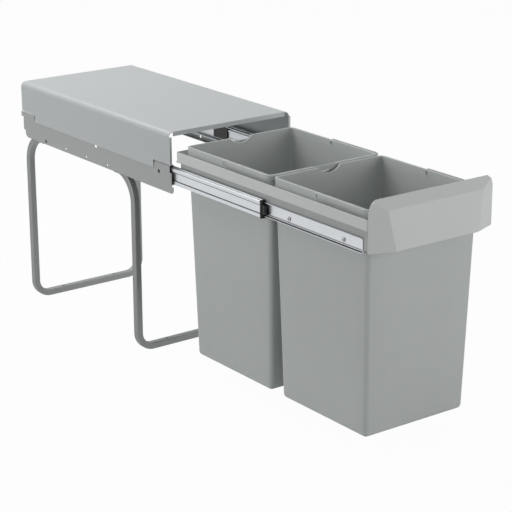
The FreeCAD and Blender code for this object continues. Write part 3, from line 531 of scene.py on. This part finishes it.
def bailRings(centre):
    b = bailShape
    pivot = centre + b["pivotBehind"]
    front = centre - b["frontGap"]
    x, r = b["halfWide"], b["corner"]
    # path points with the outward direction and the band's height there: eye, side, corner
    left = []
    for i in range(b["eyeSteps"], 0, -1):
        turn = math.pi / 2 * i / (b["eyeSteps"] + b["eyeBlunt"])
        left.append(((-x, pivot + b["high"] / 2 * math.sin(turn)), (-1, 0), b["high"] * math.cos(turn)))
    for i in range(b["sideSteps"] + 1):
        y = pivot + (front + r - pivot) * i / b["sideSteps"]
        left.append(((-x, y), (-1, 0), b["high"]))
    for i in range(1, b["cornerSteps"]):
        turn = math.pi / 2 * i / b["cornerSteps"]
        out = (-math.cos(turn), -math.sin(turn))
        left.append(((r - x + r * out[0], front + r + r * out[1]), out, b["high"]))
    across = [((r - x + 2 * (x - r) * i / b["frontSteps"], front), (0, -1), b["high"])
              for i in range(b["frontSteps"] + 1)]
    right = [((-p[0], p[1]), (-out[0], out[1]), high) for p, out, high in reversed(left)]
    rings = []
    for (px, py), (ox, oy), high in left + across + right:
        half, tall, e = b["thick"] / 2, high / 2, min(b["edgeRound"], high / 3)
        section = []
        for sx, sz, first in ((1, 1, 0), (-1, 1, 90), (-1, -1, 180), (1, -1, 270)):
            for k in range(b["edgeSteps"] + 1):
                turn = math.radians(first + 90 * k / b["edgeSteps"])
                section.append((sx * (half - e) + e * math.cos(turn),
                                sz * (tall - e) + e * math.sin(turn)))
        rings.append([(px + ox * a, py + oy * a, b["middle"] + c) for a, c in section])
    return rings


for side in ("rear", "front"):
    points, faces = skinRings(bailRings(binShape[side + "Centre"]), turnOver=True)
    bail = makePiece("handle_" + side + "_band", points, faces, bailPlastic, side + "_bail")
    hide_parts("handle_" + side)
print("bails made")

# Pan-head screws that hold the drawer members, with a cross recess
screwShape = {
    "headRadius": 0.0033, "headHigh": 0.0019, "headEdge": 0.0007, "domeIn": 0.55, "domeSteps": 6,
    "roundSteps": 28, "shankRadius": 0.0020, "shankLong": 0.0023,
    "recessLong": 0.0036, "recessWide": 0.0009, "recessDeep": 0.0011, "recessTaper": 0.55,
    "cutterOver": 0.0005, "mergeWithin": 0.000005,
    "headFace": 0.1140, "height": 0.3545, "places": (-0.755, -0.621, -0.366),
    "turns": (12.0, 38.0, 67.0),   # how far each screw was turned when it came tight
}


def looseObject(name, build):
    mesh = bpy.data.meshes.new(name)
    build.to_mesh(mesh)
    build.free()
    return putInScene(name, mesh)


def screwBlank():
    # the head and shank, spun from half of their outline
    s = screwShape
    outline = [(0.0, -s["shankLong"]), (s["shankRadius"], -s["shankLong"]), (s["shankRadius"], 0.0),
               (s["headRadius"], 0.0), (s["headRadius"], s["headEdge"])]
    for i in range(1, s["domeSteps"] + 1):
        turn = math.pi / 2 * i / s["domeSteps"]
        outline.append((s["headRadius"] * (1 - s["domeIn"] * (1 - math.cos(turn))),
                        s["headEdge"] + (s["headHigh"] - s["headEdge"]) * math.sin(turn)))
    outline.append((0.0, s["headHigh"]))
    build = bmesh.new()
    spots = [build.verts.new((r, 0, h)) for r, h in outline]
    edges = [build.edges.new(pair) for pair in zip(spots, spots[1:])]
    bmesh.ops.spin(build, geom=spots + edges, axis=(0, 0, 1), cent=(0, 0, 0), steps=s["roundSteps"],
                   angle=math.radians(360))
    bmesh.ops.remove_doubles(build, verts=build.verts, dist=s["mergeWithin"])
    bmesh.ops.recalc_face_normals(build, faces=build.faces)
    return looseObject("ScrewBlank", build)


def screwCross():
    # two bars across each other, narrower at the bottom of the recess
    s = screwShape
    build = bmesh.new()
    levels = ((s["headHigh"] + s["cutterOver"], 1.0), (s["headHigh"] - s["recessDeep"], s["recessTaper"]))
    for long, wide in ((s["recessLong"], s["recessWide"]), (s["recessWide"], s["recessLong"])):
        corners = []
        for level, share in levels:
            along = share if long > wide else 1.0
            across = share if wide > long else 1.0
            for sx, sy in ((-1, -1), (1, -1), (1, 1), (-1, 1)):
                corners.append(build.verts.new((sx * long / 2 * along, sy * wide / 2 * across, level)))
        for face in ((0, 1, 2, 3), (7, 6, 5, 4), (0, 4, 5, 1), (1, 5, 6, 2), (2, 6, 7, 3), (3, 7, 4, 0)):
            build.faces.new([corners[i] for i in face])
    bmesh.ops.recalc_face_normals(build, faces=build.faces)
    return looseObject("ScrewCross", build)


def crossHead():
    blank, cross = screwBlank(), screwCross()
    cut = blank.modifiers.new("Recess", "BOOLEAN")
    cut.operation = "DIFFERENCE"
    cut.solver = "EXACT"
    cut.use_self = True
    cut.object = cross
    applyModifiers(blank)
    made = blank.data
    bpy.data.objects.remove(blank)
    bpy.data.objects.remove(cross)
    return made


head = crossHead()
points, faces = [], []
for side in (-1, 1):
    for y, spin in zip(screwShape["places"], screwShape["turns"]):
        # the screw's own z points away from the middle of the unit
        place = Matrix.Translation((side * screwShape["headFace"], y, screwShape["height"]))
        place = place @ Matrix.Rotation(math.radians(90 * side), 4, "Y")
        place = place @ Matrix.Rotation(math.radians(spin), 4, "Z")
        first = len(points)
        points += [place @ v.co for v in head.vertices]
        faces += [tuple(first + i for i in p.vertices) for p in head.polygons]
screws = makePiece("carrier_screws_cross", points, faces, screwZinc, "carrier")
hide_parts("carrier_screws")
print("screws made")

# Weld beads where the tube arms meet the lower edge of the rails
weldShape = {
    "radius": 0.0011, "out": 0.1258, "level": 0.3260, "sides": 12, "step": 0.0005, "sharpOver": 60.0,
    "ripple": 0.0013, "rippleShare": 0.10,
    "endShare": 0.35, "endGrow": 0.13,   # a bead starts thin and fills out step by step
    "front": (-0.1640, -0.1265), "rear": (0.1180, 0.1640),
}


def weldBead(side, first, last):
    w = weldShape
    rings = []
    count = int((last - first) / w["step"])
    turns = [2 * math.pi * k / w["sides"] for k in range(w["sides"])]
    for i in range(count + 1):
        along = first + (last - first) * i / count
        full = min(1.0, w["endShare"] + min(i, count - i) * w["endGrow"])
        fat = w["radius"] * (full + w["rippleShare"] * math.sin(2 * math.pi * along / w["ripple"]))
        rings.append([(side * (w["out"] + fat * math.cos(t)), along, w["level"] + fat * math.sin(t))
                      for t in turns])
    return rings


for name in ("front", "rear"):
    points, faces = [], []
    for side in (-1, 1):
        beadPoints, beadFaces = skinRings(weldBead(side, *weldShape[name]), turnOver=side > 0)
        first = len(points)
        points += beadPoints
        faces += [tuple(first + i for i in face) for face in beadFaces]
    makePiece("weld_beads_" + name, points, faces, tubeCoat, "floor_unit",
              weldShape["sharpOver"])
print("welds made")

# Camera at the height and side that the photograph was taken from
cameraSetup = {
    "place": (-1.714, -2.694, 1.149), "azimuth": -36.52, "elevation": 18.09, "roll": -0.22,
    "focalPixels": 1756.0, "framePixels": 512.0, "sensorWide": 36.0, "clipEnd": 60.0,
}
cameraData = bpy.data.cameras.new("Camera")
camera = putInScene("Camera", cameraData)
cameraData.sensor_width = cameraSetup["sensorWide"]
cameraData.lens = cameraSetup["sensorWide"] * cameraSetup["focalPixels"] / cameraSetup["framePixels"]
cameraData.clip_end = cameraSetup["clipEnd"]
camera.location = cameraSetup["place"]
turn = Matrix.Rotation(math.radians(cameraSetup["azimuth"]), 4, "Z")
tilt = Matrix.Rotation(math.radians(90 - cameraSetup["elevation"]), 4, "X")
roll = Matrix.Rotation(math.radians(cameraSetup["roll"]), 4, "Z")
camera.rotation_euler = (turn @ tilt @ roll).to_euler()
bpy.context.scene.camera = camera

# Pale floor and soft studio light
studio = {
    "floorHalf": 14.0, "floorHex": "#cfd1d1", "floorDrop": 0.0002,
    "floorWhite": 0.97,        # share of plain white in the floor that the eye sees
    "skyLevel": 0.21,
    "aim": (0.0, -0.3, 0.2),
    "lamps": {
        "top": {"watts": 46.0, "size": 2.2, "place": (-0.3, 1.3, 2.8)},
        "left": {"watts": 25.0, "size": 1.6, "place": (-3.0, 0.4, 1.3)},
        "front": {"watts": 24.0, "size": 1.6, "place": (1.2, -3.1, 0.8)},
    },
}


def rayIsSeen(tree):
    # 1 where the eye, a mirror or clear plastic looks at the background
    ray = addNode(tree, "LightPath")
    seen = addNode(tree, "Math", {"operation": "MAXIMUM"},
                   {0: ray.outputs["Is Camera Ray"], 1: ray.outputs["Is Glossy Ray"]})
    return addNode(tree, "Math", {"operation": "MAXIMUM"},
                   {0: seen.outputs[0], 1: ray.outputs["Is Transmission Ray"]})


floorMesh = bpy.data.meshes.new("Floor")
far = studio["floorHalf"]
floorCorners = [(-far, -far, 0), (far, -far, 0), (far, far, 0), (-far, far, 0)]
floorMesh.from_pydata(floorCorners, [], [(0, 1, 2, 3)])
floor = putInScene("Floor", floorMesh)
floor.location.z = min(cadLow.z, 0.0) - studio["floorDrop"]
floorMaterial, tree = startMaterial("FloorPaper")
paper = addNode(tree, "BsdfDiffuse", {"Color": linear(studio["floorHex"])})
white = addNode(tree, "Emission", {"Color": (1.0, 1.0, 1.0, 1.0), "Strength": 1.0})
share = addNode(tree, "Math", {"operation": "MULTIPLY", 1: studio["floorWhite"]},
                {0: rayIsSeen(tree).outputs[0]})
mixed = addNode(tree, "MixShader", {}, {0: share.outputs[0], 1: paper.outputs[0], 2: white.outputs[0]})
addNode(tree, "OutputMaterial", {}, {"Surface": mixed.outputs[0]})
floorMesh.materials.append(floorMaterial)

world = bpy.data.worlds.new("Studio")
bpy.context.scene.world = world
world.use_nodes = True
tree = world.node_tree
tree.nodes.clear()
level = addNode(tree, "MapRange", {"To Min": studio["skyLevel"], "To Max": 1.0},
                {"Value": rayIsSeen(tree).outputs[0]})
sky = addNode(tree, "Background", {"Color": (1.0, 1.0, 1.0, 1.0)}, {"Strength": level.outputs[0]})
addNode(tree, "OutputWorld", {}, {"Surface": sky.outputs[0]})

for name, lampSetup in studio["lamps"].items():
    lampData = bpy.data.lights.new("Softbox_" + name, "AREA")
    lampData.shape = "SQUARE"
    lampData.size = lampSetup["size"]
    lampData.energy = lampSetup["watts"]
    lamp = putInScene("Softbox_" + name, lampData)
    lamp.location = lampSetup["place"]
    aim = Vector(studio["aim"]) - lamp.location
    lamp.rotation_euler = aim.to_track_quat("-Z", "Y").to_euler()
bpy.context.scene.view_settings.view_transform = "Standard"
print("camera, floor and light set")
